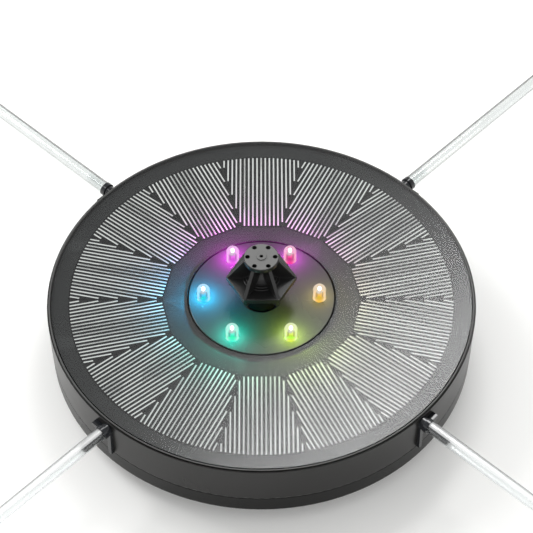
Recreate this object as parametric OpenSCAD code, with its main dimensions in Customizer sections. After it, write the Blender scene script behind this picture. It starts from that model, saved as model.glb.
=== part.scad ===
// Solar floating fountain: a sealed round float with a solar ring on top, a lit plate in the
// middle, a finned spray nozzle, a wet-rotor pump in a well under it and four slip-on guide rods.
// Millimetres, +Z up, axis of the float on Z, standing on the plane z = 0.

/* [Float] */
// Radius of the float at its widest
float_r = 80; // [78:0.5:110]
// Height of the float from its underside to its flush top
float_h = 25.2; // [24.4:0.2:34]
// Height of the band that the lower shell shows
band_h = 7.9; // [5:0.1:10]
// How far the filter cover holds the float off the surface
stand_h = 7.8; // [7.8:0.1:14]
// Radius that the outer wall loses from its top to its foot
wall_draft = 0.9; // [0.2:0.1:2]
// Thickness of the outer walls
wall_t = 2.2; // [1.8:0.1:3]
// Thickness of the float's bottom
base_t = 2.4; // [2.2:0.1:3.2]
// Rounding of the float's bottom edge
foot_round = 1.2; // [0.4:0.1:2]
// Open joint line between the two shells
split_gap = 0.3; // [0.2:0.05:0.6]
// Side of the square ring seal in the joint
seal_w = 1; // [0.7:0.1:1.2]
// Width of the lip round the panel
lip_w = 0.65; // [0.4:0.05:1.2]
// Width of the groove outside the lip
rim_groove_w = 0.35; // [0.2:0.05:0.8]
// Depth of the groove outside the lip
rim_groove_d = 0.9; // [0.4:0.1:1.5]
// Thickness of the shelf that carries the panel
shelf_t = 2; // [1.5:0.1:3]
// Width of that shelf
shelf_w = 12; // [10.5:0.5:16]

/* [Solar panel] */
// Thickness of the whole panel
panel_t = 3.2; // [2.6:0.1:4.5]
// Thickness of the circuit board under the cells
board_t = 1.6; // [1:0.1:1.8]
// Thickness of a cell
cell_t = 0.3; // [0.2:0.05:0.5]
// Height of a printed finger line
finger_h = 0.06; // [0.04:0.01:0.12]
// Gap round the panel's outer edge
panel_gap = 0.3; // [0.15:0.05:0.6]
// Number of cells in the ring
cell_count = 14; // [12:1:16]
// Distance from one finger line to the next
finger_pitch = 1.61; // [1.4:0.01:2.4]
// Width of a finger line
finger_w = 0.55; // [0.3:0.05:0.8]
// Distance from the light plate to the cells' straight inner edge
grid_inset = 9.2; // [7:0.1:16]
// Distance from the finger lines' tips to the panel's outer edge
grid_margin = 6.85; // [5:0.05:12]
// Clear strip between a finger line's tip and the line between two cells
grid_gap = 0.7; // [0.4:0.1:1.4]
// Margin of a cell past its finger lines
cell_margin = 0.5; // [0.2:0.1:0.6]

/* [Light plate and LEDs] */
// Radius of the light plate
plate_r = 27.3; // [26.8:0.1:32]
// Gap round the light plate
plate_gap = 0.5; // [0.3:0.05:0.8]
// Thickness of the light plate
plate_t = 2; // [1.7:0.1:2.6]
// Number of LEDs
led_count = 6; // [4:1:8]
// Distance from the LEDs' middle to the plate's edge
led_inset = 5.7; // [5:0.1:8]
// Radius of an LED's dome
led_r = 2.5; // [1.5:0.1:2.8]
// Height of an LED above the plate
led_h = 6.5; // [4:0.1:8]
// Clearance round an LED in its hole
led_gap = 0.15; // [0.05:0.05:0.3]
// Thickness of the ring board under the LEDs
led_board_t = 1; // [0.8:0.1:1.6]
// Height of an LED's flange
led_flange_h = 1; // [0.6:0.1:1]
// Depth of the seat for the nozzle in the plate
plate_seat_d = 1.2; // [0.6:0.1:1.2]

/* [Nozzle] */
// Height of the nozzle's spray face above the light plate
spray_h = 23.2; // [20:0.2:34]
// Height of the hexagonal table above the light plate
hex_top_h = 11.9; // [10.4:0.1:14]
// Radius of the hexagonal table at its corners
hex_r = 13; // [11:0.2:16]
// Thickness of the hexagonal table
hex_t = 2; // [1.2:0.1:3]
// Radius of the round spray disc
disc_r = 6.45; // [6:0.05:9]
// Thickness of the spray disc
disc_t = 2.2; // [2:0.1:4]
// Thickness of a fin
fin_t = 1.3; // [0.8:0.1:2]
// Number of fins and spray holes
fin_count = 6; // [6:1:6]
// Radius of the circle of spray holes
spray_ring_r = 5.08; // [3.5:0.02:5.3]
// Radius of a spray hole
spray_hole_r = 0.88; // [0.4:0.02:1]
// Radius of the centre spray hole
jet_r = 0.7; // [0.4:0.05:0.9]
// Radius of the post under the disc
post_r = 2.1; // [1.9:0.1:3]
// Radius of the flare at the post's foot
flare_r = 5.9; // [4.5:0.1:7]
// Radius of the skirt at its foot
skirt_r = 6.3; // [5.8:0.1:7]
// Clearance of the nozzle's socket on the outlet pipe
socket_gap = 0.05; // [0.02:0.01:0.1]

/* [Pump] */
// Width of the well's edge that carries the light plate
plate_land = 0.9; // [0.6:0.1:1.4]
// Gap round the pump housing in the well
pump_gap = 0.4; // [0.3:0.05:0.8]
// Outer radius of the outlet pipe
pipe_r = 4; // [3.4:0.1:4.4]
// Bore radius of the outlet pipe
pipe_bore_r = 2.5; // [1.5:0.1:2.8]
// Wall of the housing beside the volute
housing_wall = 2.05; // [1.6:0.05:3]
// Radius of the volute where it starts
volute_r = 8.6; // [8.2:0.1:9]
// How far the volute opens over one turn
volute_growth = 1.2; // [0.6:0.1:1.6]
// Height of the volute
volute_h = 5.5; // [4.5:0.1:6.5]
// Width of the channel from the volute to the outlet
channel_w = 4.6; // [3:0.1:5]
// Radius of the impeller
impeller_r = 7.7; // [6:0.1:7.9]
// Number of impeller blades
blade_count = 6; // [4:1:8]
// Thickness of an impeller blade
blade_t = 0.9; // [0.6:0.1:1.2]
// Radius of the rotor magnet
magnet_r = 4.8; // [4:0.1:4.9]
// Radius of the rotor's stem inside the magnet
stem_r = 2.5; // [1.6:0.1:3]
// Radius of the fixed shaft
shaft_r = 0.75; // [0.5:0.05:1.2]
// Running clearance of the rotor on the shaft
shaft_gap = 0.07; // [0.03:0.01:0.1]
// Land round the pump cover
cover_land = 2.2; // [1.8:0.1:3]
// Thickness of the pump cover
cover_t = 2; // [1.6:0.1:2.4]
// Radius of the pump's inlet
inlet_r = 4.4; // [3.4:0.1:5.5]

/* [Filter] */
// Thickness of the filter cover's wall
filter_wall_t = 1.7; // [1.2:0.1:2.4]
// Thickness of the filter cover's floor
filter_floor_t = 1.4; // [1:0.1:2]
// Height of the pads under the filter cover
filter_pad_h = 0.8; // [0.5:0.1:1.2]
// Thickness of the sponge
sponge_t = 3.2; // [2:0.1:3.2]
// Number of slots in the filter cover's floor
floor_slots = 16; // [8:1:20]
// Number of slots in the filter cover's wall
wall_slots = 20; // [8:1:24]
// Width of a slot
slot_w = 1.7; // [1:0.1:2.2]
// Clearance of the filter cover on its spigot
filter_gap = 0.08; // [0.03:0.01:0.1]

/* [Guide rods] */
// Turn of the first rod from the right-hand side, in degrees
first_rod_angle = 46.3; // [40:0.1:50]
// Depth of the rods' axis below the top face
rod_drop = 3.6; // [3:0.1:5]
// Length of a rod
rod_len = 105; // [60:1:160]
// Outer radius of a rod
rod_r = 2.5; // [2.3:0.1:3]
// Radius of a clip's peg
peg_r = 1.9; // [1.4:0.05:2]
// Length of a clip's peg
peg_len = 8.9; // [6:0.1:12]
// Clearance of a rod on its peg
peg_gap = 0.06; // [0.03:0.01:0.1]
// Reach of a clip's crossbar on the side away from its leg
clip_far = 6.2; // [4:0.1:8]
// Reach of a clip's crossbar on the side of its leg
clip_near = 1.9; // [1.8:0.1:4]
// Height of a clip's crossbar
clip_bar_h = 1.6; // [1.2:0.1:2.4]
// How far the crossbar stands out from the wall
clip_out = 2.1; // [1.2:0.1:3]
// Width of a clip's leg
clip_leg_w = 1.5; // [0.8:0.1:1.8]

/* [Power and controls] */
// Radius of the battery
battery_r = 7; // [5:0.1:7.4]
// Length of the battery
battery_len = 50; // [40:1:56]
// Distance of the battery's and the button's middles from the float's edge
parts_inset = 30; // [26:0.5:36]
// Radius of the mode button's cap
button_r = 4.4; // [3:0.1:5]
// How far the mode button moves
button_travel = 0.8; // [0.5:0.1:1.2]
// Length of the control board
control_len = 34; // [28:1:40]
// Width of the control board
control_w = 22; // [18:1:24]
// Number of case screws
screw_count = 6; // [4:1:8]
// Radius of a screw's shank
screw_r = 1.2; // [1:0.1:1.5]

/* [Hidden] */
$fn = 96;
eps = 0.01;

// Heights of the float
base_z = stand_h;
base_top = base_z + base_t;
split_z = base_z + band_h;
top_z = base_z + float_h;
seat_z = top_z - panel_t;
shelf_z = seat_z - shelf_t;

// Radii of the float
edge_round = 0.5;
foot_r = float_r - wall_draft;
function wall_r(z) = foot_r + wall_draft * (z - base_z) / (top_z - base_z);
rim_edge_w = 0.25;
groove_out_r = float_r - rim_edge_w;
lip_out_r = groove_out_r - rim_groove_w;
lip_in_r = lip_out_r - lip_w;
panel_r = lip_in_r - panel_gap;
panel_bore_r = plate_r + plate_gap;
shelf_in_r = lip_in_r - shelf_w;

// Pump well in the middle of the float
well_r = plate_r - plate_land;
pump_r = well_r - pump_gap;
cover_r = well_r - cover_land;
well_out_r = panel_bore_r + 0.8;
flange_t = 1.5;
flange_r = cover_r + 0.3;
pump_z = base_z + flange_t;
plate_z = top_z - plate_t;
led_board_top = plate_z - led_flange_h - 0.1;
pump_top = led_board_top - led_board_t;
plate_rim_in_r = well_r + 0.1;

// Solar cells
grid_in = plate_r + grid_inset;
grid_out_r = panel_r - grid_margin;
half_turn = 180 / cell_count;
cell_z = seat_z + board_t;
finger_z = cell_z + cell_t;
function finger_y(k) = k * finger_pitch;
function finger_in(k) = max(grid_in, (abs(finger_y(k)) + grid_gap) / tan(half_turn));
function finger_out(k) = sqrt(pow(grid_out_r, 2) - pow(finger_y(k), 2));
shortest_finger = 1.5;
fingers_half = floor(grid_out_r * sin(half_turn) / finger_pitch);
finger_rows = [
    for (k = [-fingers_half:fingers_half])
    if (finger_out(k) - finger_in(k) > shortest_finger) k
];
cell_out_r = grid_out_r + cell_margin;
cell_in = grid_in - cell_margin;
cell_side_gap = 0.25;

// LEDs
led_ring_r = plate_r - led_inset;
led_names = ["led_amber", "led_pink", "led_magenta", "led_blue", "led_green", "led_yellow"];
led_colours = ["#ffc15c", "#ff7ab0", "#ff5cf0", "#4fc4ff", "#43e8b0", "#f0f050"];
led_flange_r = led_r + 0.4;

// Nozzle
spray_z = top_z + spray_h;
hex_top = top_z + hex_top_h;
hex_z = hex_top - hex_t;
skirt_z = top_z - plate_seat_d;
plate_seat_r = skirt_r + 1.1;
disc_z = spray_z - disc_t;
socket_r = pipe_r + socket_gap;
socket_top = hex_z - 0.5;
pipe_top = socket_top - 0.5;
post_bore_r = 1.3;
plenum_h = 0.7;
plenum_top = spray_z - 0.75;
plenum_z = plenum_top - plenum_h;
plenum_r = disc_r - 0.7;
step_r = flare_r + 1;
step_h = 0.3;
seal_h = 1.6;
seal_t = 0.95;
seal_z = skirt_z + 4.8;
gusset_h = 2.2;
gusset_r = hex_r - 1;

// Pump
rotor_y = -(volute_r + volute_growth - channel_w / 2);
rotor_dist = pump_r - volute_r - volute_growth - housing_wall;
rotor_x = -sqrt(pow(rotor_dist, 2) - pow(rotor_y, 2));
volute_top = pump_z + volute_h;
rotor_gap = 0.45;
rotor_well_r = magnet_r + rotor_gap;
rotor_well_top = pump_top - 1.9;
rotor_top = rotor_well_top - 0.5;
shaft_seat = 1;
shaft_seat_r = shaft_r + 0.02;
cover_z = pump_z - cover_t;
inlet_tube_h = 1.5;
shroud_t = 1.2;
magnet_z = volute_top - 0.4;
shroud_z = magnet_z - shroud_t;
impeller_z = pump_z + 0.5;
hub_r = shaft_r + 1.1;
blade_sweep = 48;
inlet_spoke_w = 1.1;
cover_screw_r = 1;
cover_screw_len = 5;
cover_head_r = 1.8;
cover_head_h = 1;

// Drive round the rotor's well and the outlet
drive_turn = atan2(-rotor_y, -rotor_x);
stator_floor = volute_top + 1.4;
stator_top = pump_top - 1.5;
pocket_gap = 0.3;
well_tube_r = rotor_well_r + 0.8;
outlet_tube_r = pipe_bore_r + 0.9;
leg_gap = 0.05;
leg_t = 2.1;
leg_in = well_tube_r + leg_gap;
leg_out = leg_in + leg_t;
leg_back = 4.5;
yoke_w = 2.8;
yoke_h = 4.4;
yoke_z = (stator_floor + stator_top) / 2 - yoke_h / 2;
coil_len = 8;
coil_wrap = 2;
yoke_x = rotor_dist + outlet_tube_r + coil_wrap + 0.5;

// Filter
spigot_h = 3;
spigot_r = well_r + 1.8;
filter_in_r = spigot_r + filter_gap;
filter_r = filter_in_r + filter_wall_t;
filter_top = base_z - 0.3;
filter_floor_top = filter_pad_h + filter_floor_t;
sponge_r = well_r - 0.5;

// Ribs on the float's floor, clear of the battery
rib_angles = [157.5:45:382.5];
rib_t = 1.6;
rib_h = 1.6;

// Clips and rods
clip_z = top_z - rod_drop;
clip_face = float_r + clip_out;
collar_r = peg_r + 0.85;
collar_h = 1.8;
clip_boss_r = peg_r + 0.3;
peg_start = clip_face + collar_h;
clip_bar_z = clip_z - 0.3 - clip_bar_h;
clip_leg_out = 0.9;
leg_foot = split_z + 0.3;
tongue_in = float_r - 1.7;
tongue_w = 5;
tongue_h = 1.4;
tongue_z = clip_z - 0.4 - tongue_h;
peg_tip = 0.6;
peg_slot_w = 0.8;
rod_bore_r = peg_r + peg_gap;
function rod_angle(k) = first_rod_angle + 90 * (k - 1);

// Power and controls
battery_y = float_r - parts_inset;
button_y = -battery_y;
cradle_base_t = 1;
battery_z = base_top + cradle_base_t + battery_r;
saddle_x = battery_len * 0.3;
saddle_w = 6;
saddle_half_y = battery_r + 1.5;
button_gap = 0.08;
button_out = 0.8;
button_chamfer = 0.3;
button_flange_r = button_r + 1;
button_flange_h = 0.6;
button_top = base_top + button_flange_h;
switch_z = button_top + button_travel + 0.1;
switch_stem_h = 0.5;
switch_h = 2.2;
switch_w = 6;
control_z = switch_z + switch_stem_h + switch_h;
control_t = 1.6;
pin_r = 0.9;
pin_inset = 2.6;
chip_grid = control_len / 4;
driver_size = [5, 6, 1.6];
coil_size = [4.5, 4.5, 2.2];

// Case screws
boss_ring_r = shelf_in_r + 4.2;
boss_r = screw_r + 2;
screw_head_r = screw_r + 1.4;
screw_head_h = 1.2;
screw_recess = screw_head_h + 0.1;
screw_len = 10;

// ---- Helpers ----

// Ring between two radii and two heights
module ring(r_in, r_out, z0, z1) {
    rotate_extrude()
        translate([r_in, z0]) square([r_out - r_in, z1 - z0]);
}

// Copies spaced evenly round the axis
module around(count, start = 0) {
    for (k = [0:count - 1]) rotate([0, 0, start + 360 / count * k]) children();
}

// Points of an arc, from angle a0 to a1
function arc(cx, cy, r, a0, a1, steps = 6) =
    [for (i = [0:steps]) let (a = a0 + (a1 - a0) * i / steps) [cx + r * cos(a), cy + r * sin(a)]];

// Solid inside the float's drafted outer wall
module wall_solid() {
    translate([0, 0, base_z]) cylinder(h = top_z - base_z, r1 = foot_r, r2 = float_r);
}

// ---- Float ----

module top_shell() {
    split = split_z + split_gap / 2;
    color("#3a3735") difference() {
        union() {
            rotate_extrude() polygon(concat(
                [[wall_r(split) - wall_t, split], [wall_r(shelf_z) - wall_t, shelf_z]],
                [[shelf_in_r, shelf_z], [shelf_in_r, seat_z], [lip_in_r, seat_z]],
                [[lip_in_r, top_z - 0.2], [lip_in_r + 0.2, top_z], [lip_out_r - 0.1, top_z]],
                [[lip_out_r, top_z - 0.1], [lip_out_r, top_z - rim_groove_d]],
                [[groove_out_r, top_z - rim_groove_d], [groove_out_r, top_z - edge_round]],
                [[wall_r(top_z - edge_round - rim_edge_w), top_z - edge_round - rim_edge_w]],
                [[wall_r(split), split]]
            ));
            around(screw_count) translate([boss_ring_r, 0, base_top])
                cylinder(h = shelf_z - base_top + eps, r = boss_r, $fn = 32);
        }
        around(screw_count) translate([boss_ring_r, 0, base_top - eps])
            cylinder(h = screw_len + 1, r = screw_r, $fn = 24);
        seal_groove();
        for (k = [1:4]) rotate([0, 0, rod_angle(k)]) clip_tongue(k);
    }
}

// Space that the ring seal fills, half of it in each shell
module seal_groove() {
    mid_r = wall_r(split_z) - wall_t / 2;
    ring(mid_r - seal_w / 2, mid_r + seal_w / 2, split_z - seal_w, split_z + seal_w);
}

module shell_seal() {
    color("#1c1c1c") seal_groove();
}

module bottom_shell() {
    split = split_z - split_gap / 2;
    in_r = wall_r(base_top) - wall_t;
    color("#2b2a29") difference() {
        union() {
            rotate_extrude() polygon(concat(
                [[flange_r, base_z], [well_r, base_z], [well_r, base_z - spigot_h]],
                [[spigot_r, base_z - spigot_h], [spigot_r, base_z]],
                arc(foot_r - foot_round, base_z + foot_round, foot_round, -90, 0, 5),
                [[wall_r(split), split], [wall_r(split) - wall_t, split]],
                arc(in_r - 1.5, base_top + 1.5, 1.5, 0, -90, 4),
                [[well_out_r, base_top], [well_out_r, seat_z], [well_r, seat_z]],
                [[well_r, pump_z], [flange_r, pump_z]]
            ));
            for (a = rib_angles) rotate([0, 0, a])
                translate([well_out_r - eps, -rib_t / 2, base_top - eps])
                    cube([in_r - well_out_r - 3, rib_t, rib_h]);
            control_posts(control_z, pin_r + 1.1);
            control_posts(control_z + control_t + 0.6, pin_r);
            button_collar();
        }
        seal_groove();
        around(screw_count) translate([boss_ring_r, 0, base_z - eps]) {
            cylinder(h = screw_recess + eps, r = screw_head_r + 0.2, $fn = 32);
            cylinder(h = base_t + 2 * eps, r = screw_r + 0.15, $fn = 24);
        }
        around(screw_count) translate([boss_ring_r, 0, base_top])
            cylinder(h = 3, r = boss_r, $fn = 32);
        translate([0, button_y, base_z - eps])
            cylinder(h = base_t + 2 * eps, r = button_r + button_gap, $fn = 64);
        translate([0, button_y, base_top])
            cylinder(h = 3, r = button_flange_r + 0.2, $fn = 64);
    }
}

// Low collar that keeps the mode button's flange in place
module button_collar() {
    translate([0, button_y, base_top - eps])
        cylinder(h = 1 + eps, r = button_flange_r + 1.2, $fn = 64);
}

// Posts under the control board, and their pins through it
module control_posts(top, r) {
    pin_x = control_len / 2 - pin_inset;
    pin_y = control_w / 2 - pin_inset;
    for (x = [-pin_x, pin_x], y = [-pin_y, pin_y])
        translate([x, button_y + y, base_top - eps])
            cylinder(h = top - base_top + eps, r = r, $fn = 24);
}

module case_screws() {
    color("#b9bbbd") around(screw_count) translate([boss_ring_r, 0, base_z + screw_recess - screw_head_h]) {
        difference() {
            cylinder(h = screw_head_h, r = screw_head_r, $fn = 32);
            for (a = [0, 90]) rotate([0, 0, a]) translate([-1.3, -0.25, -eps]) cube([2.6, 0.5, 0.7]);
        }
        cylinder(h = screw_head_h + screw_len, r = screw_r, $fn = 24);
    }
}

// ---- Solar panel ----

module panel_board() {
    color("#1d2421") ring(panel_bore_r, panel_r, seat_z, cell_z);
}

// Outline of the first cell, its middle on the +X axis
module cell_outline() {
    tip = cell_out_r * 1.1;
    intersection() {
        circle(r = cell_out_r, $fn = 180);
        polygon([
            [cell_in, -(cell_in * tan(half_turn) - cell_side_gap)],
            [tip, -(tip * tan(half_turn) - cell_side_gap)],
            [tip, tip * tan(half_turn) - cell_side_gap],
            [cell_in, cell_in * tan(half_turn) - cell_side_gap]
        ]);
    }
}

function cell_angle(k) = -90 + 360 / cell_count * (k - 1);

module solar_cell(k) {
    color("#23282b") rotate([0, 0, cell_angle(k)]) translate([0, 0, cell_z])
        linear_extrude(cell_t) cell_outline();
}

module cell_fingers() {
    color("#d9dcdb") for (k = [1:cell_count]) rotate([0, 0, cell_angle(k)])
        for (row = finger_rows)
            translate([finger_in(row), finger_y(row) - finger_w / 2, finger_z])
                cube([finger_out(row) - finger_in(row), finger_w, finger_h]);
}

module panel_resin() {
    color("#5a5d5c", 0.35) difference() {
        ring(panel_bore_r, panel_r, cell_z, top_z);
        for (k = [1:cell_count]) rotate([0, 0, cell_angle(k)]) translate([0, 0, cell_z - eps])
            linear_extrude(cell_t + finger_h + eps) cell_outline();
    }
}

// ---- Light plate and LEDs ----

module light_plate() {
    color("#55585a") difference() {
        rotate_extrude() polygon([
            [pipe_r + 0.3, plate_z], [plate_rim_in_r, plate_z], [plate_rim_in_r, seat_z],
            [plate_r, seat_z], [plate_r, top_z - 0.25], [plate_r - 0.25, top_z],
            [plate_seat_r, top_z], [plate_seat_r, skirt_z], [pipe_r + 0.3, skirt_z]
        ]);
        around(led_count) translate([led_ring_r, 0, plate_z - eps])
            cylinder(h = plate_t + 2 * eps, r = led_r + led_gap, $fn = 48);
    }
}

module led_board() {
    color("#2f6b3c") ring(pipe_r + 4.6, well_r - 0.8, pump_top, led_board_top);
}

module led(k) {
    dome_z = top_z + led_h - led_r;
    color(led_colours[k], 0.7) rotate([0, 0, 360 / led_count * k]) translate([led_ring_r, 0, 0]) {
        translate([0, 0, led_board_top]) cylinder(h = led_flange_h, r = led_flange_r, $fn = 48);
        rotate_extrude($fn = 48) intersection() {
            union() {
                translate([0, led_board_top]) square([led_r, dome_z - led_board_top]);
                translate([0, dome_z]) circle(r = led_r, $fn = 48);
            }
            translate([0, led_board_top]) square([led_r + 1, top_z + led_h]);
        }
    }
}

// ---- Nozzle ----

// Trumpet curve of the post, flat at its foot and upright at its top
function flare_curve(z0, z1) = [
    for (a = [0:10:90])
    [flare_r - (flare_r - post_r) * sin(a), z0 + (z1 - z0) * (1 - cos(a))]
];

module nozzle() {
    color("#141414") difference() {
        union() {
            nozzle_body();
            around(fin_count) nozzle_fin();
            around(fin_count) nozzle_gusset();
        }
        nozzle_waterway();
    }
}

// Skirt, hexagonal table, flared post and spray disc
module nozzle_body() {
    translate([0, 0, skirt_z]) cylinder(h = hex_z - skirt_z + eps, r1 = skirt_r, r2 = skirt_r - 0.6);
    translate([0, 0, hex_z]) cylinder(h = hex_t, r = hex_r, $fn = 6);
    translate([0, 0, hex_top - eps]) cylinder(h = step_h + eps, r = step_r);
    rotate_extrude() polygon(concat(
        [[0, hex_top], [flare_r, hex_top]],
        flare_curve(hex_top + step_h + 0.4, disc_z - 2.5),
        [[post_r, disc_z], [disc_r - 0.5, disc_z], [disc_r, disc_z + 0.4]],
        [[disc_r, spray_z - 0.3], [disc_r - 0.3, spray_z], [0, spray_z]]
    ));
    ring(jet_r, jet_r + 1.1, spray_z - eps, spray_z + 0.4);
}

// One radial fin, from the post to a corner of the table
module nozzle_fin() {
    rotate([90, 0, 0]) translate([0, 0, -fin_t / 2]) linear_extrude(fin_t) polygon([
        [post_r - 0.3, hex_top - eps], [hex_r - 0.4, hex_top - eps],
        [disc_r - 0.15, disc_z + 0.3], [post_r - 0.3, disc_z + 0.3]
    ]);
}

// Web under a corner of the table
module nozzle_gusset() {
    rotate([90, 0, 0]) translate([0, 0, -fin_t / 2]) linear_extrude(fin_t) polygon([
        [skirt_r - 1.2, hex_z + eps], [gusset_r, hex_z + eps],
        [gusset_r, hex_z - gusset_h], [skirt_r - 1.2, hex_z - 2.6 * gusset_h]
    ]);
}

module nozzle_waterway() {
    translate([0, 0, skirt_z - eps]) cylinder(h = socket_top - skirt_z + eps, r = socket_r);
    translate([0, 0, socket_top - eps]) cylinder(h = plenum_z - socket_top + 2 * eps, r = post_bore_r);
    ring(socket_r - eps, socket_r + seal_t, seal_z - 0.1, seal_z + seal_h + 0.1);
    translate([0, 0, plenum_z]) cylinder(h = plenum_h, r = plenum_r);
    translate([0, 0, plenum_top - eps]) cylinder(h = 2, r = jet_r, $fn = 24);
    around(fin_count) translate([spray_ring_r, 0, plenum_top - eps])
        cylinder(h = 2, r = spray_hole_r, $fn = 24);
}

module nozzle_seal() {
    color("#202020") ring(socket_r, socket_r + seal_t - 0.05, seal_z, seal_z + seal_h);
}

module outlet_pipe() {
    color("#191919") rotate_extrude() polygon([
        [pipe_bore_r, pump_top], [pipe_r + 3.6, pump_top], [pipe_r + 3.6, pump_top + 1],
        [pipe_r, pump_top + 1], [pipe_r, pipe_top - 0.6], [pipe_r - 0.4, pipe_top],
        [pipe_bore_r, pipe_top]
    ]);
}

// ---- Pump ----

// Opening outline of the volute with its channel to the outlet
module volute_outline() {
    translate([rotor_x, rotor_y]) polygon([
        for (i = [0:47]) let (a = 90 - i * 7.5, r = volute_r + volute_growth * (1 - i / 48))
        [r * cos(a), r * sin(a)]
    ]);
    translate([rotor_x, -channel_w / 2]) square([-rotor_x, channel_w]);
    circle(r = channel_w / 2, $fn = 48);
}

// Frame of the drive: the rotor's axis on Z, the outlet along +X
module drive_place() {
    translate([rotor_x, rotor_y, 0]) rotate([0, 0, drive_turn]) children();
}

// Space in the housing for the drive, round the rotor's well and the outlet
module drive_pocket(z0, z1) {
    back = leg_back + pocket_gap;
    side = leg_out + pocket_gap;
    translate([0, 0, z0]) linear_extrude(z1 - z0) difference() {
        drive_place() translate([-back, -side])
            square([back + yoke_x + yoke_w + coil_wrap + pocket_gap, 2 * side]);
        translate([rotor_x, rotor_y]) circle(r = well_tube_r);
        circle(r = outlet_tube_r);
    }
}

module pump_housing() {
    color("#1a1a1b") difference() {
        translate([0, 0, pump_z]) cylinder(h = pump_top - pump_z, r = pump_r);
        translate([0, 0, pump_z - eps]) linear_extrude(volute_h + eps) volute_outline();
        translate([rotor_x, rotor_y, volute_top - 2 * eps]) {
            cylinder(h = rotor_well_top - volute_top + 2 * eps, r = rotor_well_r);
            cylinder(h = rotor_well_top - volute_top + shaft_seat + 2 * eps, r = shaft_seat_r, $fn = 32);
        }
        translate([0, 0, volute_top - 2 * eps])
            cylinder(h = pump_top - volute_top + 4 * eps, r = pipe_bore_r);
        drive_pocket(stator_floor, pump_top + eps);
        cover_screw_holes(pump_z - eps, cover_screw_len + eps, cover_screw_r);
    }
}

// Holes or shanks of the three screws that hold the pump cover
module cover_screw_holes(z, h, r) {
    around(3, 30) translate([cover_r - 3, 0, z]) cylinder(h = h, r = r, $fn = 24);
}

module cover_screws() {
    color("#b9bbbd") {
        cover_screw_holes(cover_z, cover_head_h, cover_head_r);
        cover_screw_holes(cover_z, cover_t + cover_screw_len, cover_screw_r);
    }
}

module stator_core() {
    color("#8b8d90") drive_place() {
        for (y = [leg_in, -leg_out])
            translate([-leg_back, y, stator_floor])
                cube([leg_back + yoke_x + eps, leg_t, stator_top - stator_floor]);
        translate([yoke_x, -leg_out, yoke_z]) cube([yoke_w, 2 * leg_out, yoke_h]);
    }
}

module stator_coil() {
    color("#b06a35") drive_place() translate([yoke_x, -coil_len / 2, yoke_z]) difference() {
        translate([-coil_wrap, 0, -coil_wrap])
            cube([yoke_w + 2 * coil_wrap, coil_len, yoke_h + 2 * coil_wrap]);
        translate([0, -eps, 0]) cube([yoke_w, coil_len + 2 * eps, yoke_h]);
    }
}

module motor_potting() {
    color("#0f1011") drive_pocket(stator_top, pump_top);
}

module impeller() {
    color("#d8d8d2") translate([rotor_x, rotor_y, 0]) difference() {
        union() {
            translate([0, 0, shroud_z]) cylinder(h = shroud_t, r = impeller_r);
            translate([0, 0, impeller_z]) cylinder(h = shroud_z - impeller_z + eps, r = hub_r, $fn = 48);
            translate([0, 0, magnet_z - eps]) cylinder(h = rotor_top - magnet_z + eps, r = stem_r, $fn = 48);
            around(blade_count) impeller_blade();
        }
        translate([0, 0, impeller_z - eps])
            cylinder(h = rotor_top - impeller_z + 2 * eps, r = shaft_r + shaft_gap, $fn = 32);
    }
}

// Point on one face of a blade, at a radius, swept back towards the rim
function blade_point(r, side) =
    let (a = -blade_sweep * (r - hub_r) / (impeller_r - hub_r) + side * asin(blade_t / 2 / r))
    [r * cos(a), r * sin(a)];

module impeller_blade() {
    radii = [for (i = [0:5]) hub_r - 0.3 + (impeller_r - hub_r) * i / 5];
    translate([0, 0, impeller_z]) linear_extrude(shroud_z - impeller_z + shroud_t / 2)
        polygon([
            for (r = radii) blade_point(r, 1),
            for (i = [5:-1:0]) blade_point(radii[i], -1)
        ]);
}

module rotor_magnet() {
    color("#4a4c50") translate([rotor_x, rotor_y, 0])
        ring(stem_r, magnet_r, magnet_z, rotor_top);
}

module pump_shaft() {
    seat = cover_z + cover_t / 2;
    color("#f2f0ea") translate([rotor_x, rotor_y, seat])
        cylinder(h = rotor_well_top + shaft_seat - seat, r = shaft_r, $fn = 32);
}

module pump_cover() {
    seat = cover_z + cover_t / 2;
    color("#202122") difference() {
        union() {
            difference() {
                union() {
                    translate([0, 0, cover_z]) cylinder(h = cover_t, r = cover_r);
                    translate([rotor_x, rotor_y, cover_z - inlet_tube_h])
                        cylinder(h = inlet_tube_h + eps, r = inlet_r + 1.2, $fn = 64);
                }
                translate([rotor_x, rotor_y, cover_z - inlet_tube_h - eps])
                    cylinder(h = cover_t + inlet_tube_h + 2 * eps, r = inlet_r, $fn = 64);
            }
            translate([rotor_x, rotor_y, cover_z]) {
                cylinder(h = cover_t, r = hub_r, $fn = 32);
                around(3) translate([0, -inlet_spoke_w / 2, 0])
                    cube([inlet_r + 0.5, inlet_spoke_w, cover_t]);
            }
        }
        translate([rotor_x, rotor_y, seat]) cylinder(h = cover_t, r = shaft_seat_r, $fn = 32);
        cover_screw_holes(cover_z - eps, cover_head_h + eps, cover_head_r);
        cover_screw_holes(cover_z, cover_t + eps, cover_screw_r);
    }
}

// ---- Filter ----

module filter_cover() {
    color("#242525") difference() {
        union() {
            ring(filter_in_r, filter_r, filter_pad_h, filter_top);
            translate([0, 0, filter_pad_h]) cylinder(h = filter_floor_t, r = filter_r);
            around(6) rotate_extrude(angle = 40) translate([filter_r - 4, 0])
                square([3, filter_pad_h + eps]);
        }
        around(floor_slots) translate([filter_r * 0.3, -slot_w / 2, filter_pad_h - eps])
            cube([filter_r * 0.42, slot_w, filter_floor_t + 2 * eps]);
        around(wall_slots, 9) translate([filter_in_r - 1, -slot_w / 2, filter_floor_top + 0.4])
            cube([filter_wall_t + 2, slot_w, filter_top - filter_floor_top - 2.2]);
    }
}

module filter_sponge() {
    color("#33363a") translate([0, 0, filter_floor_top]) cylinder(h = sponge_t, r = sponge_r);
}

// ---- Power and controls ----

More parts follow.
